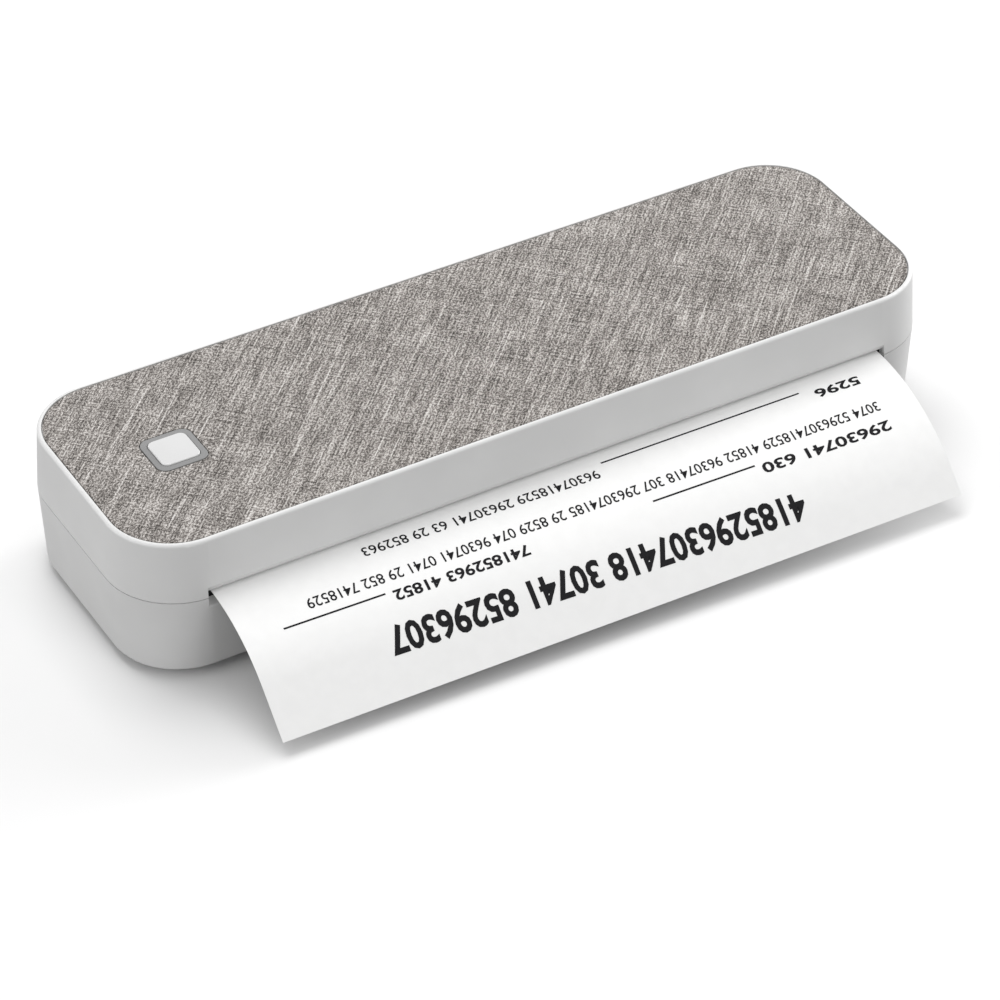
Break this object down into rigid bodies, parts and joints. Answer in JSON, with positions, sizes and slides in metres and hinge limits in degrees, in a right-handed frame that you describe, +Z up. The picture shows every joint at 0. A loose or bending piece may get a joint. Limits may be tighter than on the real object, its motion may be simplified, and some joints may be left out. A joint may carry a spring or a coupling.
{
  "type": "portable thermal printer",
  "caption": "Slim portable A4 thermal printer with a fabric-topped hinged cover, a power button and a sheet hanging from its front slot.",
  "frame": {"origin": "on the desk, under the middle of the bounding box of the printer with its hanging sheet", "axes": "+X along the casing towards the end with the USB-C socket, -Y the way the sheet leaves, +Z up"},
  "size_m": [0.2522, 0.1212, 0.0455],
  "materials": {
    "casing": "fine matt moulding",
    "fabric": "woven linen",
    "bezel": "satin grey",
    "cap": "smooth moulding",
    "dark_plastic": "matt black moulding",
    "rubber": "matt",
    "platen_rubber": "ground",
    "steel": "bright",
    "screw_steel": "black zinc",
    "bush_plastic": "natural acetal",
    "gear_plastic": "natural acetal",
    "brass": "turned",
    "motor": "plated",
    "cells": "shrink sleeve",
    "nickel": "nickel strip",
    "board": "solder mask",
    "chips": "moulded epoxy",
    "plunger": "moulded",
    "aluminium": "extruded",
    "ceramic": "lapped",
    "glaze": "glazed",
    "paper": "smooth thermal coating"
  },
  "bodies": {
    "base": {"base_shell": "casing", "rubber_feet": "rubber", "base_screws": "screw_steel", "chassis": "dark_plastic", "paper_sensor": "chips", "platen_bushes": "bush_plastic", "idler_pin": "steel", "stepper_motor": "motor", "motor_screws": "screw_steel", "battery_cells": "cells", "battery_link": "nickel", "main_board": "board", "board_parts": "chips", "power_board": "board", "board_screws": "screw_steel", "usb_socket": "steel", "hinge_pins": "steel", "catch_springs": "steel"},
    "cover": {"cover_shell": "casing", "fabric_panel": "fabric", "cover_liner": "dark_plastic", "cover_screws": "screw_steel", "head_bracket": "steel", "bracket_screws": "screw_steel", "head_springs": "steel", "button_bezel": "bezel", "button_board": "board", "button_board_screws": "screw_steel", "button_switch": "chips"},
    "print_head": {"head_heatsink": "aluminium", "print_head_ceramic": "ceramic", "heater_glaze": "glaze", "driver_cover": "chips"},
    "button": {"power_button": "cap", "switch_plunger": "plunger"},
    "platen": {"platen_shaft": "steel", "platen_rubber": "platen_rubber", "platen_gear": "gear_plastic", "platen_clip": "steel"},
    "idler": {"idler_gear": "gear_plastic"},
    "rotor": {"motor_shaft": "steel", "motor_pinion": "brass"},
    "sheet": {"paper_sheet": "paper"},
    "roll": {"paper_roll": "paper"}
  },
  "joints": [
    {"name": "cover_hinge", "type": "hinge", "parent": "base", "child": "cover", "pos_m": [0, 0.05828, 0.02675], "axis": [-1, 0, 0], "range_deg": [0, 75]},
    {"name": "head_float", "type": "slide", "parent": "cover", "child": "print_head", "axis": [0, 0, 1], "range_m": [0, 0.0008], "stiffness_N_per_m": 5000, "springref_m": -0.004, "deforming": ["head_springs"]},
    {"name": "button_press", "type": "slide", "parent": "cover", "child": "button", "axis": [0, 0, -1], "range_m": [0, 0.0005], "stiffness_N_per_m": 1000, "springref_m": -0.001},
    {"name": "platen_spin", "type": "hinge", "parent": "base", "child": "platen", "pos_m": [0, -0.00492, 0.0214], "axis": [1, 0, 0], "range_deg": [0, 180]},
    {"name": "idler_spin", "type": "hinge", "parent": "base", "child": "idler", "pos_m": [-0.1099, 0.00438, 0.01764], "axis": [1, 0, 0], "range_deg": [-420.5, 0]},
    {"name": "motor_spin", "type": "hinge", "parent": "base", "child": "rotor", "pos_m": [-0.1131, 0.01264, 0.01551], "axis": [1, 0, 0], "range_deg": [0, 1008.5]},
    {"name": "paper_feed", "type": "slide", "parent": "base", "child": "sheet", "axis": [0, -1, 0], "range_m": [0, 0.0189]},
    {"name": "roll_spin", "type": "hinge", "parent": "base", "child": "roll", "pos_m": [0, 0.03858, 0.0171], "axis": [1, 0, 0], "range_deg": [0, 105.1]}
  ],
  "couplings": [
    {"joint": "idler_spin", "follows": "platen_spin", "ratio": -2.3333},
    {"joint": "motor_spin", "follows": "platen_spin", "ratio": 5.6},
    {"joint": "paper_feed", "follows": "platen_spin", "m_per_rad": 0.006},
    {"joint": "roll_spin", "follows": "platen_spin", "ratio": 0.58252}
  ]
}
